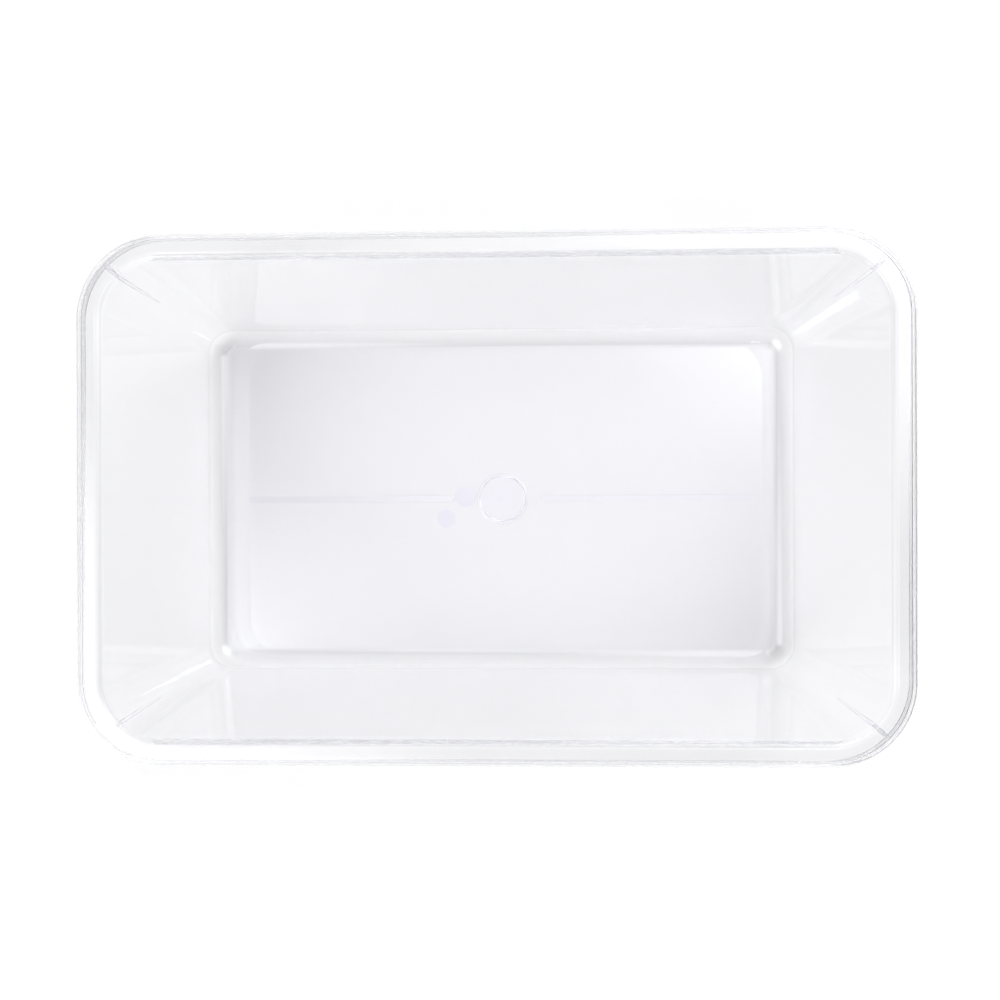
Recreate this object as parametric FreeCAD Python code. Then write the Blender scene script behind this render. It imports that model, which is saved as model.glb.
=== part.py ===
import FreeCAD, Part
import math
import os

from FreeCAD import Rotation, Vector

# Clear one-shot moulded developing tray. Millimetres, +Z up, origin at the middle of the
# underside. +X is the right end, +Y the back. Every wall, cove and rim section is drawn
# once in the (r, z) half plane, where r is the distance outwards from a spine: the
# rectangle through the four corner axes. A straight run extrudes the section along the
# spine, and a corner turns the same section a quarter round its axis, so all walls
# keep one draft and every corner is a true cone.

# ---- driving sizes ---------------------------------------------------------------------
LENGTH = 318.0            # outside, over the skirt
WIDTH = 203.0             # outside, over the skirt
HEIGHT = 100.0            # underside to rim top
OUTER_CORNER_RADIUS = 33.0
RIM_WIDTH = 10.5          # inside edge of the mouth to the outermost skirt edge
WALL_THICKNESS = 1.9
FLOOR_THICKNESS = 2.0
WALL_INSET = 12.9         # how far each wall leans in over the full height
COVE_RADIUS = 8.0         # inside, floor to wall; tighter where the corners leave less room
COVE_LAND = 0.6           # flat strip that the cove ring keeps next to the floor panel
PANEL_CORNER_MIN = 0.6    # least corner radius left on the floor panel

FLANGE_THICKNESS = 1.9
MOUTH_ROUND = 2.0         # inside edge of the mouth
RIM_ROUND = 3.0           # outside, flange to skirt
SKIRT_DEPTH = 7.5         # rim top to the skirt's free edge
SKIRT_FLARE = 3.0         # degrees, outwards on the way down

GUSSET_DEPTH = 34.0       # flange underside to the tip, down the wall
GUSSET_TOP_THICKNESS = 1.7
GUSSET_TIP_THICKNESS = 0.9
GUSSET_TIP_WIDTH = 0.35   # how far the blunt tip stands off the wall
GUSSET_SETBACK = 0.2      # flange end of the gusset, short of the rim's inner round

RIDGE_WIDTH = 3.4
RIDGE_HEIGHT = 0.45
RIDGE_END_MARGIN = 7.7    # ridge to the edge of the flat floor
RIDGE_PAD_GAP = 6.0       # right ridge to the gate pad
RIDGE_MARK_GAP = 0.3      # left ridge to the first ejector mark

GATE_PAD_RADIUS = 12.1
GATE_PAD_OFFSET = 1.6     # pad's middle, to the right of the gate
GATE_PAD_HEIGHT = 0.5
GATE_WELL_RADIUS = 11.0   # recess in the underside below the pad
GATE_WELL_DEPTH = 0.8
GATE_NIB_RADIUS = 1.2
GATE_NIB_LENGTH = 0.5     # stays inside the well

MARK_HEIGHT = 0.2
INNER_MARK_RADIUS = 4.9
INNER_MARK_PAD_GAP = 0.9
INNER_MARK_BACK_OFFSET = 0.8
OUTER_MARK_RADIUS = 4.4
OUTER_MARK_STEP = 9.3     # further left than the inner mark
OUTER_MARK_RIDGE_GAP = 3.3

# ---- places worked out from them -------------------------------------------------------
SPINE_X = LENGTH / 2 - OUTER_CORNER_RADIUS
SPINE_Y = WIDTH / 2 - OUTER_CORNER_RADIUS
DRAFT = math.atan2(WALL_INSET, HEIGHT)
MOUTH_R = OUTER_CORNER_RADIUS - RIM_WIDTH
WALL_RUN = WALL_THICKNESS / math.cos(DRAFT)
FLANGE_UNDERSIDE = HEIGHT - FLANGE_THICKNESS
FLARE = math.radians(SKIRT_FLARE)
SKIRT_BOTTOM = HEIGHT - SKIRT_DEPTH
RIM_CENTRE_Z = HEIGHT - RIM_ROUND
RIM_CENTRE_R = (
    OUTER_CORNER_RADIUS
    - RIM_ROUND * math.cos(FLARE)
    - (RIM_CENTRE_Z + RIM_ROUND * math.sin(FLARE) - SKIRT_BOTTOM) * math.tan(FLARE)
)
RIM_INNER_ROUND = RIM_ROUND - FLANGE_THICKNESS

# Each run follows the spine from one corner axis to the next, anticlockwise from the
# right end, and each corner is the turn at the end of the run of the same number.
SIDES = ("right", "back", "left", "front")
CORNERS = ("back_right", "back_left", "front_left", "front_right")
RUN_LENGTHS = (2 * SPINE_Y, 2 * SPINE_X, 2 * SPINE_Y, 2 * SPINE_X)
AXES = ((SPINE_X, SPINE_Y), (-SPINE_X, SPINE_Y), (-SPINE_X, -SPINE_Y), (SPINE_X, -SPINE_Y))
QUARTER = 90.0
UP = Vector(0, 0, 1)


def inner_r(z):
    """Inside face of the wall at height z."""
    return MOUTH_R - (HEIGHT - z) * math.tan(DRAFT)


def outer_r(z):
    """Outside face of the wall at height z."""
    return inner_r(z) + WALL_RUN


def at(r, z):
    return Vector(r, 0, z)


def on_circle(centre, radius, angle):
    """Point of a circle in the section plane, angle from +r towards +z."""
    return centre + Vector(radius * math.cos(angle), 0, radius * math.sin(angle))


def line(start, end):
    return Part.LineSegment(start, end).toShape()


def arc(centre, radius, from_angle, to_angle):
    middle = (from_angle + to_angle) / 2
    points = (on_circle(centre, radius, a) for a in (from_angle, middle, to_angle))
    return Part.Arc(*points).toShape()


def section(*edges):
    return Part.Face(Part.Wire(list(edges)))


def polygon(points):
    return Part.Face(Part.makePolygon(list(points) + [points[0]]))


def run(face, side):
    """Section extruded along one straight side, between its two corners."""
    start_x, start_y = AXES[side - 1]
    solid = face.extrude(Vector(0, RUN_LENGTHS[side], 0))
    solid.Placement = FreeCAD.Placement(Vector(start_x, start_y, 0), Rotation(UP, QUARTER * side))
    return solid


def turn(face, corner):
    """Section turned a quarter round one corner's axis."""
    x, y = AXES[corner]
    solid = face.revolve(Vector(0, 0, 0), UP, QUARTER)
    solid.Placement = FreeCAD.Placement(Vector(x, y, 0), Rotation(UP, QUARTER * corner))
    return solid


def ring(face):
    """Section carried all the way round the tray as one solid."""
    pieces = [run(face, n) for n in range(4)] + [turn(face, n) for n in range(4)]
    return pieces[0].multiFuse(pieces[1:]).removeSplitter().Solids[0]


def cove_centre(radius, wall_r, level):
    """Centre of the arc that is tangent to a drafted wall face and to a flat level."""
    z = level + radius
    return at(wall_r(z) - radius / math.cos(DRAFT), z)


# A corner's floor has to hold the cove, its land and the panel's own corner, so where sharp
# corners, a wide rim or a long draft leave less room, the cove's radius comes down with it.
COVE_ROOM = inner_r(FLOOR_THICKNESS) - COVE_LAND - PANEL_CORNER_MIN
COVE_BEND_RADIUS = min(COVE_RADIUS, COVE_ROOM / (1 / math.cos(DRAFT) - math.tan(DRAFT)))
INNER_COVE = cove_centre(COVE_BEND_RADIUS, inner_r, FLOOR_THICKNESS)
OUTER_COVE_RADIUS = COVE_BEND_RADIUS + WALL_THICKNESS
OUTER_COVE = cove_centre(OUTER_COVE_RADIUS, outer_r, 0.0)
FLOOR_R = min(INNER_COVE.x, OUTER_COVE.x) - COVE_LAND
FLOOR_HALF_LENGTH = SPINE_X + FLOOR_R


def cove_section():
    """Floor to wall bend, one wall thick, ending square on the wall."""
    inner_top = on_circle(INNER_COVE, COVE_BEND_RADIUS, -DRAFT)
    outer_end = on_circle(OUTER_COVE, OUTER_COVE_RADIUS, -DRAFT)
    outer_top = at(outer_r(inner_top.z), inner_top.z)
    floor_top = at(FLOOR_R, FLOOR_THICKNESS)
    floor_bottom = at(FLOOR_R, 0)
    edges = [
        line(floor_bottom, floor_top),
        line(floor_top, at(INNER_COVE.x, FLOOR_THICKNESS)),
        arc(INNER_COVE, COVE_BEND_RADIUS, -math.pi / 2, -DRAFT),
        line(inner_top, outer_top),
        line(outer_top, outer_end),
        arc(OUTER_COVE, OUTER_COVE_RADIUS, -DRAFT, -math.pi / 2),
        line(at(OUTER_COVE.x, 0), floor_bottom),
    ]
    return section(*edges)


def wall_section():
    """Drafted wall between the cove and the flange."""
    foot = on_circle(INNER_COVE, COVE_BEND_RADIUS, -DRAFT).z
    top = FLANGE_UNDERSIDE
    corners = (
        at(inner_r(foot), foot),
        at(outer_r(foot), foot),
        at(outer_r(top), top),
        at(inner_r(top), top),
    )
    return polygon(corners)


def flange_section():
    """Flat rim with a rounded mouth edge and the bend down into the skirt."""
    mouth = at(inner_r(FLANGE_UNDERSIDE), FLANGE_UNDERSIDE)
    # The mouth round is tangent to the flange top and to the wall's inside face, whose
    # surface leans DRAFT past square.
    round_z = HEIGHT - MOUTH_ROUND
    round_centre = at(inner_r(round_z) + MOUTH_ROUND / math.cos(DRAFT), round_z)
    round_end = math.pi - DRAFT
    rim_centre = at(RIM_CENTRE_R, RIM_CENTRE_Z)
    edges = [
        line(mouth, on_circle(round_centre, MOUTH_ROUND, round_end)),
        arc(round_centre, MOUTH_ROUND, round_end, math.pi / 2),
        line(at(round_centre.x, HEIGHT), at(RIM_CENTRE_R, HEIGHT)),
        arc(rim_centre, RIM_ROUND, math.pi / 2, FLARE),
        line(
            on_circle(rim_centre, RIM_ROUND, FLARE),
            on_circle(rim_centre, RIM_INNER_ROUND, FLARE),
        ),
        arc(rim_centre, RIM_INNER_ROUND, FLARE, math.pi / 2),
        line(at(RIM_CENTRE_R, FLANGE_UNDERSIDE), mouth),
    ]
    return section(*edges)


def skirt_section():
    """Flared strip hanging from the flange's bend."""
    rim_centre = at(RIM_CENTRE_R, RIM_CENTRE_Z)
    corners = []
    for radius in (RIM_ROUND, RIM_INNER_ROUND):
        top = on_circle(rim_centre, radius, FLARE)
        bottom = at(top.x + (top.z - SKIRT_BOTTOM) * math.tan(FLARE), SKIRT_BOTTOM)
        corners += [top, bottom] if radius == RIM_ROUND else [bottom, top]
    return polygon(corners)


def gusset(corner):
    """Thin drafted web under the flange, on the corner's diagonal."""
    tip = FLANGE_UNDERSIDE - GUSSET_DEPTH
    profile = polygon(
        (
            at(outer_r(FLANGE_UNDERSIDE), FLANGE_UNDERSIDE),
            at(RIM_CENTRE_R - GUSSET_SETBACK, FLANGE_UNDERSIDE),
            at(outer_r(tip) + GUSSET_TIP_WIDTH, tip),
            at(outer_r(tip), tip),
        )
    )
    # Turning the profile keeps its inner face on the wall's cone, and the drafted slab
    # then trims it to the web's thickness.
    sector = profile.revolve(Vector(0, 0, 0), UP, QUARTER)
    half_top = GUSSET_TOP_THICKNESS / 2
    half_tip = GUSSET_TIP_THICKNESS / 2
    slab = polygon(
        (
            Vector(0, -half_tip, tip),
            Vector(0, half_tip, tip),
            Vector(0, half_top, FLANGE_UNDERSIDE),
            Vector(0, -half_top, FLANGE_UNDERSIDE),
        )
    ).extrude(Vector(OUTER_CORNER_RADIUS, 0, 0))
    slab.rotate(Vector(0, 0, 0), UP, QUARTER / 2)
    web = sector.common(slab).Solids[0]
    x, y = AXES[corner]
    web.Placement = FreeCAD.Placement(Vector(x, y, 0), Rotation(UP, QUARTER * corner))
    return web


def disc(x, y, z, radius, height):
    return Part.makeCylinder(radius, height, Vector(x, y, z))


def floor_panel():
    """Flat floor inside the cove ring, with the gate well in its underside."""
    plate = Part.makeBox(2 * SPINE_X, 2 * SPINE_Y, FLOOR_THICKNESS, Vector(-SPINE_X, -SPINE_Y, 0))
    edge = polygon((at(0, 0), at(FLOOR_R, 0), at(FLOOR_R, FLOOR_THICKNESS), at(0, FLOOR_THICKNESS)))
    border = [run(edge, n) for n in range(4)] + [turn(edge, n) for n in range(4)]
    well = disc(GATE_PAD_OFFSET, 0, 0, GATE_WELL_RADIUS, GATE_WELL_DEPTH)
    return plate.multiFuse(border).removeSplitter().cut(well).Solids[0]


def ridge(start_x, end_x):
    """Low bar on the floor's centre line with rounded ends."""
    half = RIDGE_WIDTH / 2
    bar = Part.makeBox(
        end_x - start_x - RIDGE_WIDTH,
        RIDGE_WIDTH,
        RIDGE_HEIGHT,
        Vector(start_x + half, -half, FLOOR_THICKNESS),
    )
    ends = [disc(x, 0, FLOOR_THICKNESS, half, RIDGE_HEIGHT) for x in (start_x + half, end_x - half)]
    return bar.multiFuse(ends).removeSplitter().Solids[0]


def build():
    """All nodes of the tray, by name."""
    wall = wall_section()
    nodes = {
        "floor_panel": floor_panel(),
        "floor_cove": ring(cove_section()),
        "rim_flange": ring(flange_section()),
        "rim_skirt": ring(skirt_section()),
    }
    for n in range(4):
        nodes["wall_" + SIDES[n]] = run(wall, n)
        nodes["wall_corner_" + CORNERS[n]] = turn(wall, n)
        nodes["corner_gusset_" + CORNERS[n]] = gusset(n)

    inner_mark_x = GATE_PAD_OFFSET - GATE_PAD_RADIUS - INNER_MARK_PAD_GAP - INNER_MARK_RADIUS
    outer_mark_y = -(RIDGE_WIDTH / 2 + OUTER_MARK_RIDGE_GAP + OUTER_MARK_RADIUS)
    ridge_end = FLOOR_HALF_LENGTH - RIDGE_END_MARGIN
    top = FLOOR_THICKNESS
    nodes["gate_pad"] = disc(GATE_PAD_OFFSET, 0, top, GATE_PAD_RADIUS, GATE_PAD_HEIGHT)
    nodes["gate_nib"] = disc(0, 0, GATE_WELL_DEPTH - GATE_NIB_LENGTH, GATE_NIB_RADIUS, GATE_NIB_LENGTH)
    nodes["ejector_mark_inner"] = disc(
        inner_mark_x, INNER_MARK_BACK_OFFSET, top, INNER_MARK_RADIUS, MARK_HEIGHT
    )
    nodes["ejector_mark_outer"] = disc(
        inner_mark_x - OUTER_MARK_STEP, outer_mark_y, top, OUTER_MARK_RADIUS, MARK_HEIGHT
    )
    nodes["floor_ridge_left"] = ridge(-ridge_end, inner_mark_x - INNER_MARK_RADIUS - RIDGE_MARK_GAP)
    nodes["floor_ridge_right"] = ridge(
        GATE_PAD_OFFSET + GATE_PAD_RADIUS + RIDGE_PAD_GAP, ridge_end
    )
    return nodes


os.makedirs("parts", exist_ok=True)
for name, shape in build().items():
    shape.exportStep("parts/" + name + ".step")
    print(name, "valid", shape.isValid(), "volume", round(shape.Volume, 1))
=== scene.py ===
"""Looks of a clear moulded developing tray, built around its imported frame.

The tray is one shot of clear plastic. The tub itself is one unbroken shell, carried as a
rounded profile round a rounded rectangle, and the webs, bars, pads and marks that the
mould leaves on it are separate small pieces. Everything is in metres, +Z up.
"""

import logging
import math
from dataclasses import dataclass, field
from enum import Enum

import bpy
import numpy as np
from mathutils import Matrix, Vector


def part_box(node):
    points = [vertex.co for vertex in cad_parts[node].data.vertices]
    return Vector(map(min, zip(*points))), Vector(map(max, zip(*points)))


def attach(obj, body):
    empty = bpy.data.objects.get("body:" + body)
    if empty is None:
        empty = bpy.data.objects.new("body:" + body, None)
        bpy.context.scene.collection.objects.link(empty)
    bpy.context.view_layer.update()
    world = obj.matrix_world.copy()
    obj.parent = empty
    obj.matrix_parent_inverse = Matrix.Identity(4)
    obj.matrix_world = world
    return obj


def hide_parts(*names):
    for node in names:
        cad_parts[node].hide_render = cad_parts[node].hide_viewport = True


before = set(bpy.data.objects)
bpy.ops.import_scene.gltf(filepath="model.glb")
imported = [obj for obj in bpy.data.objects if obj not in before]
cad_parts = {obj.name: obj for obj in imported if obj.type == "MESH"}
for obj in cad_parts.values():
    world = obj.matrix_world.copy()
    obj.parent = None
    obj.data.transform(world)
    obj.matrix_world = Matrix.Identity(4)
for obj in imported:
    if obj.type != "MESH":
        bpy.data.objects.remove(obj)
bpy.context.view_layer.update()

log = logging.getLogger("developing_tray")
MM = 0.001
BODY = "root"
POLE_SHARE = 0.02  # size of the last ring round a pole, as a share of the face it closes


class Slot(Enum):
    """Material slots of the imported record."""

    GLOSS = "clear_gloss_plastic"
    SATIN = "clear_satin_plastic"


class Corner(Enum):
    """Corners of the tray, each with the signs of its x and y."""

    BACK_RIGHT = (1, 1)
    BACK_LEFT = (-1, 1)
    FRONT_LEFT = (-1, -1)
    FRONT_RIGHT = (1, -1)

    @property
    def node(self) -> str:
        """Name of the corner's web in the frame."""
        return f"corner_gusset_{self.name.lower()}"


# ---- colour and shader helpers -----------------------------------------------------------


def linear(hex_colour: str, alpha: float = 1.0) -> tuple[float, float, float, float]:
    """Turn an sRGB hex colour into linear light.

    Args:
        hex_colour: Six hex digits, with or without a leading #.
        alpha: Fourth channel, passed through.

    Returns:
        Linear red, green, blue and alpha.
    """
    digits = hex_colour.lstrip("#")
    srgb = np.array([int(digits[i : i + 2], 16) for i in (0, 2, 4)]) / 255.0
    light = np.where(srgb <= 0.04045, srgb / 12.92, ((srgb + 0.055) / 1.055) ** 2.4)
    return (float(light[0]), float(light[1]), float(light[2]), alpha)


def add_node(
    tree: bpy.types.NodeTree,
    kind: str,
    inputs: dict[str | int, object] | None = None,
    **settings: object,
) -> bpy.types.Node:
    """Add one node with its settings, values and links.

    Args:
        tree: Node tree to add to.
        kind: Blender's type name of the node.
        inputs: Input name or number to a plain value, or to an output socket to link.
        **settings: Properties of the node itself, such as operation.

    Returns:
        The new node.
    """
    node = tree.nodes.new(kind)
    for name, value in settings.items():
        setattr(node, name, value)
    for key, value in (inputs or {}).items():
        if isinstance(value, bpy.types.NodeSocket):
            tree.links.new(value, node.inputs[key])
        else:
            node.inputs[key].default_value = value
    return node


def per_metre(size_mm: float) -> float:
    """Noise scale whose features repeat about every size_mm."""
    return 1.0 / (size_mm * MM)


# ---- finishes ----------------------------------------------------------------------------


@dataclass(frozen=True)
class PolishedPolycarbonate:
    """Clear polycarbonate from a polished mould face.

    Real material: transparent polycarbonate, injected through one gate into a polished
    steel mould. It bends light strongly (index 1.585), so its edges and bends show as
    thin bright and dark lines while flat walls nearly vanish. A trace of violet toner
    cools the thick edges, slow flow waves make reflections wander, a finer sink ripple
    breaks them up, and wiping leaves hairlines that soften the gloss.
    """

    name: str = "polycarbonate_polished_mould"
    tint: str = "#F4F4F6"
    toner: str = "#DFE0F2"
    toner_density: float = 0.8
    ior: float = 1.585
    roughness_low: float = 0.012
    roughness_high: float = 0.05
    flow_wave_mm: float = 38.0
    flow_depth_mm: float = 0.012
    ripple_mm: float = 9.0
    ripple_depth_mm: float = 0.0012
    scratch_length_mm: float = 30.0
    scratch_pitch_mm: float = 0.9
    scratch_turn: tuple[float, float, float] = (0.35, 0.2, 0.6)
    scratch_noise_roughness: float = 0.6
    scratch_peak: tuple[float, float] = (0.66, 0.78)

    def relief(self, tree: bpy.types.NodeTree, coords: bpy.types.NodeSocket) -> bpy.types.NodeSocket:
        """Surface relief of the flow waves and the finer ripple.

        Args:
            tree: Node tree to add to.
            coords: Object coordinates, in metres.

        Returns:
            The bumped normal.
        """
        normal = None
        for wave_mm, depth_mm, detail in (
            (self.flow_wave_mm, self.flow_depth_mm, 1.0),
            (self.ripple_mm, self.ripple_depth_mm, 2.0),
        ):
            noise = {"Vector": coords, "Scale": per_metre(wave_mm), "Detail": detail}
            height = add_node(tree, "ShaderNodeTexNoise", noise).outputs["Fac"]
            bump = {"Height": height, "Distance": depth_mm * MM}
            if normal is not None:
                bump["Normal"] = normal
            normal = add_node(tree, "ShaderNodeBump", bump).outputs["Normal"]
        return normal

    def gloss(self, tree: bpy.types.NodeTree, coords: bpy.types.NodeSocket) -> bpy.types.NodeSocket:
        """Roughness, low on clean plastic and higher along the hairlines.

        The hairlines are a noise drawn out along one direction and kept where it peaks.

        Args:
            tree: Node tree to add to.
            coords: Object coordinates, in metres.

        Returns:
            The roughness.
        """
        stretch = self.scratch_pitch_mm / self.scratch_length_mm
        drawn = {"Vector": coords, "Rotation": self.scratch_turn, "Scale": (stretch, 1.0, 1.0)}
        along = add_node(tree, "ShaderNodeMapping", drawn).outputs["Vector"]
        noise = {
            "Vector": along,
            "Scale": per_metre(self.scratch_pitch_mm),
            "Roughness": self.scratch_noise_roughness,
        }
        hair = add_node(tree, "ShaderNodeTexNoise", noise).outputs["Fac"]
        peaks = {
            "Value": hair,
            "From Min": self.scratch_peak[0],
            "From Max": self.scratch_peak[1],
            "To Min": self.roughness_low,
            "To Max": self.roughness_high,
        }
        return add_node(tree, "ShaderNodeMapRange", peaks).outputs["Result"]

    def build(self) -> bpy.types.Material:
        """Make the node material."""
        material = bpy.data.materials.new(self.name)
        material.use_nodes = True
        tree = material.node_tree
        tree.nodes.clear()
        coords = add_node(tree, "ShaderNodeTexCoord").outputs["Object"]
        plastic = {
            "Base Color": linear(self.tint),
            "Roughness": self.gloss(tree, coords),
            "IOR": self.ior,
            "Transmission Weight": 1.0,
            "Normal": self.relief(tree, coords),
        }
        surface = add_node(tree, "ShaderNodeBsdfPrincipled", plastic).outputs["BSDF"]
        toner = {"Color": linear(self.toner), "Density": self.toner_density}
        depth = add_node(tree, "ShaderNodeVolumeAbsorption", toner).outputs["Volume"]
        add_node(tree, "ShaderNodeOutputMaterial", {"Surface": surface, "Volume": depth})
        return material


@dataclass(frozen=True)
class PolishedReliefPolycarbonate(PolishedPolycarbonate):
    """Clear polycarbonate of the low bars, the pad and the webs.

    Real material: the same shot off the same polished steel, so light meets no extra face
    on its way into them. The eye gets only their bright and dark edges, and their tops are
    as clear as the floor around them, so the tint is left to the tub.
    """

    name: str = "polycarbonate_polished_relief"
    tint: str = "#FDFCFE"


@dataclass(frozen=True)
class SpottedPolycarbonate(PolishedPolycarbonate):
    """Clear polycarbonate off the ends of ejector pins and the cut gate.

    Real material: the same plastic, where it set against ground pin ends or was sheared
    off, so it has a fine grain that frosts it a little and never shows a clean reflection.
    """

    name: str = "polycarbonate_ground_pin"
    tint: str = "#FAF9FD"
    roughness_low: float = 0.10
    roughness_high: float = 0.20
    ripple_mm: float = 1.1
    ripple_depth_mm: float = 0.008


# ---- shapes worked out with numpy --------------------------------------------------------


def rounded_outline(
    corners: np.ndarray, radii: np.ndarray, steps: np.ndarray
) -> tuple[np.ndarray, np.ndarray]:
    """Round the corners of an open outline with tangent arcs.

    Formula: at each inner corner the arc of radius R touches both sides at
    R * tan(turn / 2) from the corner, and its points are
    centre + R * (cos a, sin a) with a running evenly from one tangent point to the other.

    Args:
        corners: Corner points of the outline, one (r, z) row each, first to last.
        radii: Arc radius at each inner corner.
        steps: Number of facets on each arc.

    Returns:
        The points and their unit normals, the normal standing to the left of the way
        the outline runs.
    """
    points = [corners[:1]]
    first = corners[1] - corners[0]
    first = first / np.linalg.norm(first)
    normals = [np.array([[-first[1], first[0]]])]
    for before, corner, after, radius, count in zip(
        corners[:-2], corners[1:-1], corners[2:], radii, steps
    ):
        along = (corner - before) / np.linalg.norm(corner - before)
        ahead = (after - corner) / np.linalg.norm(after - corner)
        turn = math.atan2(along[0] * ahead[1] - along[1] * ahead[0], float(along @ ahead))
        side = math.copysign(1.0, turn)
        left = np.array([-along[1], along[0]])
        start = corner - along * radius * math.tan(abs(turn) / 2)
        centre = start + left * side * radius
        swing = np.linspace(0.0, turn, int(count) + 1)
        spoke = start - centre
        turned = np.stack(
            [
                spoke[0] * np.cos(swing) - spoke[1] * np.sin(swing),
                spoke[0] * np.sin(swing) + spoke[1] * np.cos(swing),
            ],
            axis=1,
        )
        points.append(centre + turned)
        normals.append(-side * turned / radius)
    last = corners[-1] - corners[-2]
    last = last / np.linalg.norm(last)
    points.append(corners[-1:])
    normals.append(np.array([[-last[1], last[0]]]))
    return np.concatenate(points), np.concatenate(normals)


@dataclass(frozen=True)
class Spine:
    """Closed path of a rounded rectangle whose corner radius shrinks to nothing.

    Formula: the path runs anticlockwise through the four corner axes (+-half_x,
    +-half_y). On a straight the outward direction stands still while the foot moves, and
    at a corner the foot stands still while the direction turns a quarter, so a point at
    distance r outside the path is foot + r * direction.
    """

    half_x: float
    half_y: float
    centre_x: float = 0.0
    centre_y: float = 0.0
    corner_steps: int = 24
    straight_steps: int = 6

    def feet(self) -> tuple[np.ndarray, np.ndarray]:
        """Feet and outward directions of the path.

        Returns:
            Two arrays of (x, y) rows, the feet and the unit directions.
        """
        sign_x = np.array([1.0, -1.0, -1.0, 1.0])
        sign_y = np.array([1.0, 1.0, -1.0, -1.0])
        axes = np.stack([sign_x * self.half_x, sign_y * self.half_y], axis=1)
        axes += (self.centre_x, self.centre_y)
        share = np.arange(1, self.straight_steps) / self.straight_steps
        feet, angles = [], []
        for corner in range(4):
            start = corner * math.pi / 2
            swing = np.linspace(start, start + math.pi / 2, self.corner_steps + 1)
            feet.append(np.repeat(axes[corner : corner + 1], swing.size, axis=0))
            angles.append(swing)
            ahead = axes[(corner + 1) % 4] - axes[corner]
            if np.linalg.norm(ahead) > 0:
                feet.append(axes[corner] + share[:, None] * ahead)
                angles.append(np.full(share.size, start + math.pi / 2))
        angle = np.concatenate(angles)
        foot = np.concatenate(feet)
        direction = np.stack([np.cos(angle), np.sin(angle)], axis=1)
        # Where two corners share an axis their end rows coincide, and one is dropped.
        nxt = np.roll(np.arange(angle.size), -1)
        same = np.all(np.isclose(foot, foot[nxt]), axis=1) & np.all(
            np.isclose(direction, direction[nxt]), axis=1
        )
        return foot[~same], direction[~same]


@dataclass
class Rows:
    """Rings of a closed surface, from its first pole to its last.

    points and normals hold one (ring, step, xyz) grid each.
    """

    points: np.ndarray
    normals: np.ndarray

    @classmethod
    def carried(cls, outline: np.ndarray, normals: np.ndarray, spine: Spine) -> "Rows":
        """Carry an (r, z) outline round a spine.

        Formula: point = foot + r * direction in plan, z up. The normal turns the same way.

        Args:
            outline: (r, z) rows.
            normals: Unit normals of the rows.
            spine: Path to carry it round.

        Returns:
            One ring for each row of the outline.
        """
        feet, directions = spine.feet()
        plan = feet[None] + outline[:, None, :1] * directions[None]
        height = np.broadcast_to(outline[:, None, 1:], (*plan.shape[:2], 1))
        flat = normals[:, None, :1] * directions[None]
        rise = np.broadcast_to(normals[:, None, 1:], (*flat.shape[:2], 1))
        return cls(np.concatenate([plan, height], axis=2), np.concatenate([flat, rise], axis=2))

    def joined(self, other: "Rows") -> "Rows":
        """These rings followed by the other's."""
        return Rows(
            np.concatenate([self.points, other.points]),
            np.concatenate([self.normals, other.normals]),
        )

    def mesh(self, name: str) -> bpy.types.Object:
        """Close both ends with a pole and make the mesh object.

        Formula: ring k and ring k + 1 are joined step by step with quads, and the first
        and last ring each fan to one point, their mean.

        Args:
            name: Name of the new piece.

        Returns:
            The linked mesh object with smooth faces and its own normals.
        """
        rings, steps = self.points.shape[:2]
        poles = np.stack([self.points[0].mean(axis=0), self.points[-1].mean(axis=0)])
        pole_normals = np.stack([self.normals[0].mean(axis=0), self.normals[-1].mean(axis=0)])
        vertices = np.concatenate([self.points.reshape(-1, 3), poles])
        normals = np.concatenate([self.normals.reshape(-1, 3), pole_normals])
        normals /= np.linalg.norm(normals, axis=1, keepdims=True)

        index = np.arange(rings * steps).reshape(rings, steps)
        ahead = np.roll(index, -1, axis=1)
        quads = np.stack([index[:-1], index[1:], ahead[1:], ahead[:-1]], axis=2).reshape(-1, 4)
        first, last = rings * steps, rings * steps + 1
        opening = np.stack([np.full(steps, first), index[0], ahead[0]], axis=1)
        closing = np.stack([index[-1], np.full(steps, last), ahead[-1]], axis=1)

        data = bpy.data.meshes.new(name)
        faces = quads.tolist() + opening.tolist() + closing.tolist()
        data.from_pydata(vertices.tolist(), [], faces)
        data.polygons.foreach_set("use_smooth", np.ones(len(faces), dtype=bool))
        data.update()
        data.normals_split_custom_set_from_vertices(normals.tolist())
        piece = bpy.data.objects.new(name, data)
        bpy.context.scene.collection.objects.link(piece)
        return piece


def grid_normals(points: np.ndarray) -> np.ndarray:
    """Unit normals of a grid of closed rings.

    Formula: the cross product of the step from ring to ring and the step along the ring.

    Args:
        points: A (ring, step, xyz) grid, each ring anticlockwise seen from the first pole.

    Returns:
        One normal for each point, outwards.
    """
    down = np.gradient(points, axis=0)
    along = np.roll(points, -1, axis=1) - np.roll(points, 1, axis=1)
    normals = np.cross(down, along)
    return normals / np.linalg.norm(normals, axis=2, keepdims=True)


def solid_of_height(
    name: str, spine: Spine, radius: float, base: float, height: float, edge: float
) -> bpy.types.Object:
    """Low closed solid with a rounded top edge, such as a disc or a bar.

    Formula: the outline runs over the top, round its edge and back under the bottom, and
    is carried round the spine.

    Args:
        name: Name of the piece.
        spine: Path that the outline is carried round.
        radius: Distance from the spine to the side.
        base: Height of the underside.
        height: Thickness.
        edge: Radius of the top edge.

    Returns:
        The mesh object.
    """
    inside = radius * POLE_SHARE
    corners = np.array(
        [[inside, base + height], [radius, base + height], [radius, base], [inside, base]]
    )
    outline, normals = rounded_outline(corners, np.array([edge, edge / 4]), np.array([6, 3]))
    return Rows.carried(outline, normals, spine).mesh(name)


# ---- the tub -----------------------------------------------------------------------------


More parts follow.
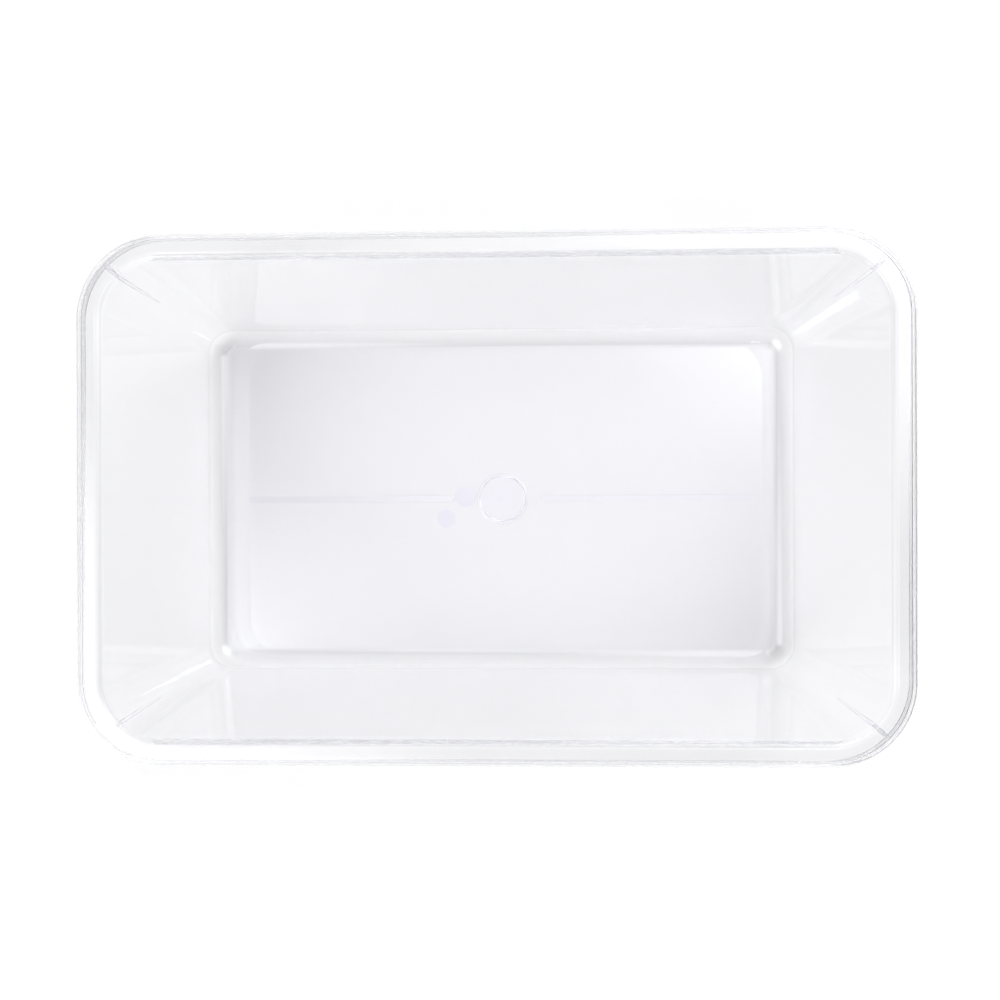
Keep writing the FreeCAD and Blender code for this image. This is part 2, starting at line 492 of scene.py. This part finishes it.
@dataclass
class TubShell:
    """The moulded tub: floor, cove, walls, corners, flange and skirt in one skin."""

    wall_thickness: float = 1.9 * MM
    wall_inset: float = 12.9 * MM
    cove_radius: float = 8.0 * MM
    rim_width: float = 10.5 * MM
    mouth_round: float = 2.0 * MM
    rim_round: float = 3.0 * MM
    skirt_flare: float = math.radians(3.0)
    skirt_edge_round: float = 0.45 * MM
    flange_fillet: float = 1.8 * MM  # only here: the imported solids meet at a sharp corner
    well_radius: float = 11.0 * MM
    well_depth: float = 0.8 * MM
    well_edge: float = 0.3 * MM
    nodes: tuple[str, ...] = (
        "floor_panel",
        "floor_cove",
        "wall_right",
        "wall_back",
        "wall_left",
        "wall_front",
        "wall_corner_back_right",
        "wall_corner_back_left",
        "wall_corner_front_left",
        "wall_corner_front_right",
        "rim_flange",
        "rim_skirt",
    )
    spine: Spine = field(init=False)

    def __post_init__(self) -> None:
        """Read the places that the frame fixes."""
        skirt_low, skirt_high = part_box("rim_skirt")
        wall_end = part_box("wall_front")[1].x
        wall_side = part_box("wall_right")[1].y
        self.spine = Spine(wall_end, wall_side)
        self.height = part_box("rim_flange")[1].z
        self.floor_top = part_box("floor_panel")[1].z
        self.floor_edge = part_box("floor_panel")[1].x - wall_end
        self.outer_corner = skirt_high.x - wall_end
        self.skirt_bottom = skirt_low.z
        self.flange_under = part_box("wall_front")[1].z
        pad_low, pad_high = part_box("gate_pad")
        self.well_centre = (pad_low.x + pad_high.x) / 2

    @property
    def draft(self) -> float:
        """Lean of the walls from upright, in radians."""
        return math.atan2(self.wall_inset, self.height)

    def inner(self, z: float) -> float:
        """Distance of the wall's inside face from the spine at height z."""
        return self.outer_corner - self.rim_width - (self.height - z) * math.tan(self.draft)

    def outer(self, z: float) -> float:
        """Distance of the wall's outside face from the spine at height z."""
        return self.inner(z) + self.wall_thickness / math.cos(self.draft)

    def fillet_reach(self, z: np.ndarray) -> np.ndarray:
        """How far the fillet under the flange stands off the wall's outside face at height z.

        Formula: a quarter circle, R - sqrt(R^2 - climb^2), over the last R below the flange.

        Args:
            z: Heights.

        Returns:
            The distance at each height, none below the fillet.
        """
        radius = self.flange_fillet
        climb = np.clip(z - (self.flange_under - radius), 0.0, radius)
        return radius - np.sqrt(radius**2 - climb**2)

    def skirt_face(self, z: float, inset: float = 0.0) -> float:
        """Distance of the skirt's outside face, less inset, from the spine at height z."""
        lean = math.tan(self.skirt_flare)
        return self.outer_corner - (z - self.skirt_bottom) * lean - inset / math.cos(self.skirt_flare)

    def rows(self) -> Rows:
        """All rings of the shell, from the middle of the floor's top to that of its underside.

        Formula: one outline of straight stretches with tangent arcs climbs the inside,
        crosses the rim, goes down the skirt and back under the flange and down the outside.
        The floor inside it shrinks ring by ring towards the middle, and the underside
        blends from the rounded rectangle to the round gate well: (1 - t) * edge + t * circle.

        Returns:
            The rings.
        """
        top, low = self.height, self.skirt_bottom
        skin = top - self.flange_under
        corners = np.array(
            [
                [self.floor_edge, self.floor_top],
                [self.inner(self.floor_top), self.floor_top],
                [self.inner(top), top],
                [self.skirt_face(top), top],
                [self.skirt_face(low), low],
                [self.skirt_face(low, skin), low],
                [self.skirt_face(self.flange_under, skin), self.flange_under],
                [self.outer(self.flange_under), self.flange_under],
                [self.outer(0.0), 0.0],
                [self.floor_edge, 0.0],
            ]
        )
        edge = self.skirt_edge_round
        radii = np.array(
            [
                self.cove_radius,
                self.mouth_round,
                self.rim_round,
                edge,
                edge,
                self.rim_round - skin,
                self.flange_fillet,
                self.cove_radius + self.wall_thickness,
            ]
        )
        # Facets on each arc, in the order of the radii: more where the arc is long.
        steps = np.array([24, 12, 18, 6, 6, 12, 5, 24])
        outline, normals = rounded_outline(corners, radii, steps)
        ring = Rows.carried(outline, normals, self.spine)

        # The floor inside the outline's first ring, out from the middle.
        shares = np.array([POLE_SHARE, 0.25, 0.5, 0.75])[:, None, None]
        edge_ring = ring.points[0]
        inside = edge_ring[None] * [1.0, 1.0, 0.0] * shares + [0.0, 0.0, self.floor_top]
        up = np.broadcast_to(np.array([0.0, 0.0, 1.0]), inside.shape)
        floor = Rows(inside, up)

        # The underside, in from the outline's last ring to the well, then up into it.
        angle = np.arctan2(edge_ring[:, 1], edge_ring[:, 0])
        circle = np.stack([np.cos(angle), np.sin(angle), np.zeros_like(angle)], axis=1)
        shift = np.array([self.well_centre, 0.0, 0.0])
        mouth = self.well_radius + 2 * self.well_edge
        blend = np.array([0.3, 0.6, 0.85])[:, None, None]
        flat = edge_ring * [1.0, 1.0, 0.0]
        under = (1 - blend) * flat[None] + blend * (mouth * circle + shift)[None]
        down = np.broadcast_to(np.array([0.0, 0.0, -1.0]), under.shape)
        well_corners = np.array(
            [
                [mouth, 0.0],
                [self.well_radius, 0.0],
                [self.well_radius, self.well_depth],
                [self.well_radius * POLE_SHARE, self.well_depth],
            ]
        )
        well, well_normals = rounded_outline(
            well_corners, np.array([self.well_edge, self.well_edge]), np.array([4, 4])
        )
        lift = np.array([0.0, 0.0, 1.0])
        recess = Rows(
            well[:, None, :1] * circle[None] + well[:, None, 1:] * lift + shift,
            well_normals[:, None, :1] * circle[None] + well_normals[:, None, 1:] * lift,
        )
        return floor.joined(ring).joined(Rows(under, down)).joined(recess)

    def build(self, material: bpy.types.Material) -> bpy.types.Object:
        """Make the shell and hide the nodes it stands for."""
        return dressed(self.rows().mesh("tub_shell"), material, Slot.GLOSS, *self.nodes)


# ---- small features of the moulding --------------------------------------------------------


@dataclass
class CornerGusset:
    """Thin web under the flange on one corner's diagonal, down the outside of the wall."""

    corner: Corner
    tub: TubShell
    top_thickness: float = 1.7 * MM
    tip_thickness: float = 0.9 * MM
    tip_width: float = 0.33 * MM
    edge_round: float = 0.3 * MM
    edge_share: float = 0.9
    air_gap: float = 0.015 * MM

    def rows(self) -> Rows:
        """Rings of the web, from the flange down to the tip.

        Formula: at each height the section is a rounded rectangle, centre + sign *
        (half size - e) + e * direction, between the wall's outside face and the sloping
        free edge. Both its thickness and its width fall evenly towards the tip, and the
        last rings draw in along a quarter circle to round the tip off.

        Returns:
            The rings.
        """
        low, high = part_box(self.corner.node)
        sign_x, sign_y = self.corner.value
        far_x = max(low.x * sign_x, high.x * sign_x) - self.tub.spine.half_x
        reach = (far_x - self.top_thickness / 2 * math.sqrt(0.5)) / math.sqrt(0.5)

        # Evenly spaced heights, then a quarter circle's worth of them for the round tip.
        bend = np.linspace(0.0, math.pi / 2, 7)[:-1]
        tip = low.z + self.air_gap
        body = np.linspace(high.z - self.air_gap, tip + self.edge_round, 16)[:-1]
        height = np.concatenate([body, tip + self.edge_round * (1 - np.sin(bend))])
        drawn = np.concatenate([np.zeros(body.size), 1 - np.cos(bend)]) * self.edge_round
        share = (height - low.z) / (high.z - low.z)

        lean = math.tan(self.tub.draft)
        wall = self.tub.outer(self.tub.height) - (self.tub.height - height) * lean + self.air_gap
        wall = wall + self.tub.fillet_reach(height)
        tip_edge = self.tub.outer(low.z) + self.tip_width
        free_edge = tip_edge + (reach - tip_edge) * share
        half_width = (free_edge - wall) / 2 - drawn / 2
        half_thick = (self.tip_thickness + (self.top_thickness - self.tip_thickness) * share) / 2
        half_thick = half_thick - drawn
        # The edges' round stays within the section, however thin the web gets.
        edge = self.edge_share * np.minimum(np.minimum(half_width, half_thick), self.edge_round)

        signs, directions = Spine(1.0, 1.0, corner_steps=5, straight_steps=3).feet()
        out = (free_edge + wall)[:, None] / 2 + signs[:, 0] * (half_width - edge)[:, None]
        out = out + directions[:, 0] * edge[:, None]
        side = signs[:, 1] * (half_thick - edge)[:, None] + directions[:, 1] * edge[:, None]
        # The wall behind is round, so the far side of the section sinks by its sagitta.
        sagitta = wall[:, None] - np.sqrt(wall[:, None] ** 2 - side**2)
        out = out - sagitta * np.clip(-signs[:, 0], 0.0, 1.0)

        diagonal = np.array([sign_x, sign_y]) * math.sqrt(0.5)
        across = np.array([-diagonal[1], diagonal[0]])
        axis = np.array([sign_x * self.tub.spine.half_x, sign_y * self.tub.spine.half_y])
        plan = axis + out[..., None] * diagonal + side[..., None] * across
        rise = np.broadcast_to(height[:, None, None], (*plan.shape[:2], 1))
        points = np.concatenate([plan, rise], axis=2)
        return Rows(points, grid_normals(points))

    def build(self, material: bpy.types.Material) -> bpy.types.Object:
        """Make the web."""
        piece = self.rows().mesh(f"web_{self.corner.name.lower()}")
        return dressed(piece, material, Slot.GLOSS, self.corner.node)


@dataclass
class RaisedMark:
    """Low mark on the floor, such as a bar, a pad or a pin mark, or the stub in the well.

    A mark stands on the floor, and the stub hangs from the well's roof. The air gap parts
    each from the face that it grows out of, because two skins in one place turn black.
    """

    name: str
    node: str
    slot: Slot
    edge: float
    air_gap: float = 0.015 * MM
    hangs: bool = False

    def build(self, material: bpy.types.Material) -> bpy.types.Object:
        """Make the mark in its node's place, as a bar as long as the node is longer than wide.

        Args:
            material: Finish of the mark.

        Returns:
            The mesh object.
        """
        low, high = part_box(self.node)
        radius = (high.y - low.y) / 2
        run = max((high.x - low.x) / 2 - radius, 0.0)
        spine = Spine(run, 0.0, (low.x + high.x) / 2, (low.y + high.y) / 2, corner_steps=16)
        base = low.z if self.hangs else low.z + self.air_gap
        top = high.z - self.air_gap if self.hangs else high.z
        piece = solid_of_height(self.name, spine, radius, base, top - base, self.edge)
        return dressed(piece, material, self.slot, self.node)


def dressed(
    piece: bpy.types.Object, material: bpy.types.Material, slot: Slot, *nodes: str
) -> bpy.types.Object:
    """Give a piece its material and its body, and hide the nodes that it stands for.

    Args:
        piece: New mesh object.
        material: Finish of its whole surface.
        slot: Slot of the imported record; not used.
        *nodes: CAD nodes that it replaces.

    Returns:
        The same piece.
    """
    piece.data.materials.append(material)
    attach(piece, BODY)
    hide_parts(*nodes)
    log.info("%s: %d faces for %s", piece.name, len(piece.data.polygons), ", ".join(nodes))
    return piece


# ---- studio --------------------------------------------------------------------------------


def towards(azimuth: float, elevation: float) -> Vector:
    """Unit direction from the tray, azimuth from +X towards +Y, both in degrees."""
    turn, rise = math.radians(azimuth), math.radians(elevation)
    return Vector((math.cos(turn) * math.cos(rise), math.sin(turn) * math.cos(rise), math.sin(rise)))


@dataclass(frozen=True)
class Patch:
    """Soft round patch of the studio's walls and ceiling, brighter or darker than the rest.

    Angles are in degrees. Inside the inner angle the change is whole, and it fades out to
    nothing at the outer angle.
    """

    azimuth: float
    elevation: float
    inner: float
    outer: float
    change: float


@dataclass(frozen=True)
class StripBox:
    """Long soft box, level along its long side and turned to face the tray.

    The place is its middle, in metres from the tray, and the heading is the way its long
    side runs, in degrees from +X towards +Y.
    """

    name: str
    place: tuple[float, float, float]
    heading: float
    length: float
    width: float
    watts: float

    def build(self) -> bpy.types.Object:
        """Hang the light."""
        data = bpy.data.lights.new(self.name, "AREA")
        data.shape = "RECTANGLE"
        data.size = self.length
        data.size_y = self.width
        data.energy = self.watts
        lamp = bpy.data.objects.new(self.name, data)
        bpy.context.scene.collection.objects.link(lamp)
        along = towards(self.heading, 0.0)
        middle = Vector(self.place)
        away = (middle - along * middle.dot(along)).normalized()
        lamp.location = middle
        lamp.rotation_euler = Matrix((along, away.cross(along), away)).transposed().to_euler()
        return lamp


@dataclass
class Studio:
    """White sweep, soft surroundings and overhead camera."""

    floor_half: float = 2.0
    floor_gap: float = 0.3 * MM
    floor_colour: str = "#F6F6F6"
    floor_roughness: float = 0.5
    glow: float = 0.35
    patches: tuple[Patch, ...] = (
        Patch(azimuth=0.0, elevation=90.0, inner=20.0, outer=45.0, change=-0.33),
        Patch(azimuth=60.0, elevation=86.0, inner=3.0, outer=22.0, change=1.68),
        Patch(azimuth=0.0, elevation=30.0, inner=10.0, outer=60.0, change=-0.23),
        Patch(azimuth=90.0, elevation=30.0, inner=10.0, outer=60.0, change=0.78),
        Patch(azimuth=180.0, elevation=30.0, inner=10.0, outer=60.0, change=0.24),
        Patch(azimuth=270.0, elevation=30.0, inner=10.0, outer=60.0, change=0.76),
        Patch(azimuth=40.0, elevation=52.0, inner=8.0, outer=30.0, change=3.0),
        Patch(azimuth=215.0, elevation=52.0, inner=8.0, outer=30.0, change=3.0),
    )
    boxes: tuple[StripBox, ...] = (
        StripBox("tube_back_near", (0.73, 0.667, 1.6), -11.5, 0.365, 0.030, 0.5),
        StripBox("tube_back_far", (0.786, 0.73, 1.6), -11.8, 0.391, 0.030, 0.5),
        StripBox("strip_left", (-0.79, -0.577, 1.6), 125.0, 0.28, 0.16, 1.3),
        StripBox("tube_front", (0.66, -0.635, 1.6), 0.0, 0.28, 0.030, 0.5),
    )
    eye: tuple[float, float, float] = (13.3 * MM, 0.0, 459.3 * MM)
    tilt_degrees: tuple[float, float, float] = (-0.084, 1.637, -0.194)
    sensor_mm: float = 36.0
    lens_mm: float = 34.52
    clip_start: float = 0.01
    plastic_bounces: int = 400
    paper_bounces: int = 6

    def floor(self) -> None:
        """Lay the pale floor just under the tray."""
        data = bpy.data.meshes.new("studio_floor")
        half, z = self.floor_half, -self.floor_gap
        corners = [(-half, -half, z), (half, -half, z), (half, half, z), (-half, half, z)]
        data.from_pydata(corners, [], [(0, 1, 2, 3)])
        floor = bpy.data.objects.new("studio_floor", data)
        bpy.context.scene.collection.objects.link(floor)
        material = bpy.data.materials.new("white_paper_sweep")
        material.use_nodes = True
        tree = material.node_tree
        tree.nodes.clear()
        paper = {"Color": linear(self.floor_colour), "Roughness": self.floor_roughness}
        shader = add_node(tree, "ShaderNodeBsdfDiffuse", paper).outputs["BSDF"]
        add_node(tree, "ShaderNodeOutputMaterial", {"Surface": shader})
        data.materials.append(material)

    def surroundings(self) -> None:
        """Light the room: an even glow with soft brighter and darker patches."""
        scene = bpy.context.scene
        scene.world = bpy.data.worlds.new("studio")
        scene.world.use_nodes = True
        tree = scene.world.node_tree
        tree.nodes.clear()
        way = add_node(tree, "ShaderNodeTexCoord").outputs["Generated"]
        glow = self.glow
        for patch in self.patches:
            facing = {0: way, 1: towards(patch.azimuth, patch.elevation)}
            dot = add_node(tree, "ShaderNodeVectorMath", facing, operation="DOT_PRODUCT")
            fade = {
                "Value": dot.outputs["Value"],
                "From Min": math.cos(math.radians(patch.outer)),
                "From Max": math.cos(math.radians(patch.inner)),
                "To Min": 0.0,
                "To Max": patch.change,
            }
            added = {0: glow, 1: smooth_range(tree, fade)}
            glow = add_node(tree, "ShaderNodeMath", added, operation="ADD").outputs["Value"]
        back = add_node(tree, "ShaderNodeBackground", {"Strength": glow}).outputs["Background"]
        add_node(tree, "ShaderNodeOutputWorld", {"Surface": back})
        for box in self.boxes:
            box.build()
        scene.view_settings.view_transform = "Standard"

    def camera(self) -> None:
        """Hang the camera over the tray, a little to its right and tipped back to its middle."""
        data = bpy.data.cameras.new("overhead")
        data.sensor_width = self.sensor_mm
        data.lens = self.lens_mm
        data.clip_start = self.clip_start
        overhead = bpy.data.objects.new("overhead", data)
        bpy.context.scene.collection.objects.link(overhead)
        overhead.location = self.eye
        overhead.rotation_mode = "YXZ"
        overhead.rotation_euler = [math.radians(angle) for angle in self.tilt_degrees]
        bpy.context.scene.camera = overhead

    def light_paths(self) -> None:
        """Let light run on inside the plastic: along a wall and the floor it turns many times."""
        cycles = bpy.context.scene.cycles
        cycles.max_bounces = self.plastic_bounces
        cycles.transmission_bounces = self.plastic_bounces
        cycles.glossy_bounces = self.plastic_bounces
        cycles.diffuse_bounces = self.paper_bounces
        cycles.blur_glossy = 0
        cycles.sample_clamp_indirect = 0


def smooth_range(tree: bpy.types.NodeTree, inputs: dict[str | int, object]) -> bpy.types.NodeSocket:
    """Map Range that eases in and out."""
    node = add_node(tree, "ShaderNodeMapRange", inputs, interpolation_type="SMOOTHSTEP")
    return node.outputs["Result"]


def main() -> None:
    """Build the tray, the studio and the camera."""
    logging.basicConfig(level=logging.INFO)
    studio = Studio()
    studio.camera()

    polished = PolishedPolycarbonate().build()
    relief = PolishedReliefPolycarbonate().build()
    spotted = SpottedPolycarbonate().build()
    tub = TubShell()
    tub.build(polished)
    for corner in Corner:
        CornerGusset(corner, tub).build(relief)
    for mark in (
        RaisedMark("ridge_left", "floor_ridge_left", Slot.GLOSS, edge=0.25 * MM),
        RaisedMark("ridge_right", "floor_ridge_right", Slot.GLOSS, edge=0.25 * MM),
        RaisedMark("pad_over_gate", "gate_pad", Slot.GLOSS, edge=0.3 * MM),
    ):
        mark.build(relief)
    for mark in (
        RaisedMark("gate_stub", "gate_nib", Slot.SATIN, edge=0.15 * MM, hangs=True),
        RaisedMark("pin_mark_inner", "ejector_mark_inner", Slot.SATIN, edge=0.08 * MM),
        RaisedMark("pin_mark_outer", "ejector_mark_outer", Slot.SATIN, edge=0.08 * MM),
    ):
        mark.build(spotted)

    studio.floor()
    studio.surroundings()
    studio.light_paths()


if __name__ == "__main__":
    main()
